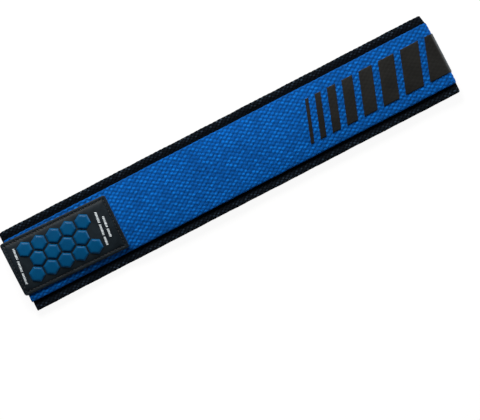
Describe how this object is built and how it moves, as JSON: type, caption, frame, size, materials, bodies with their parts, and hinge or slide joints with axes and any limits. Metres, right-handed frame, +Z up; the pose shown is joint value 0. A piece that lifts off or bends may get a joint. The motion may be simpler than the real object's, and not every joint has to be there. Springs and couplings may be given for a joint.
{
  "type": "weightlifting strap",
  "caption": "Padded cloth lifting strap folded in half and lying flat: blue woven webbing on a wider black band, rubber patch with raised blue blocks on its cut ends, dark bars at the fold.",
  "frame": {"origin": "on the surface that the strap lies on, under the middle of its bounding box", "axes": "+X along the strap from the patch and cut ends to the fold, +Y across it, +Z up from the surface"},
  "size_m": [0.2832, 0.0508, 0.0105],
  "materials": {
    "cotton_webbing": "coarse matt weave",
    "band": "matt woven band",
    "patch_rubber": "satin moulded rubber",
    "block_rubber": "satin moulded rubber",
    "print_rubber": "matt thick print"
  },
  "bodies": {
    "root": {"webbing": "cotton_webbing", "backing": "band", "rubber_patch": "patch_rubber", "patch_block_01": "block_rubber", "patch_block_02": "block_rubber", "patch_block_03": "block_rubber", "patch_block_04": "block_rubber", "patch_block_05": "block_rubber", "patch_block_06": "block_rubber", "patch_block_07": "block_rubber", "patch_block_08": "block_rubber", "patch_block_09": "block_rubber", "patch_block_10": "block_rubber", "patch_block_11": "block_rubber", "patch_block_12": "block_rubber", "patch_block_13": "block_rubber", "patch_block_14": "block_rubber", "print_bar_01": "print_rubber", "print_bar_02": "print_rubber", "print_bar_03": "print_rubber", "print_bar_04": "print_rubber", "print_bar_05": "print_rubber", "print_bar_06": "print_rubber", "print_bar_07": "print_rubber", "print_bar_08": "print_rubber"}
  },
  "joints": []
}
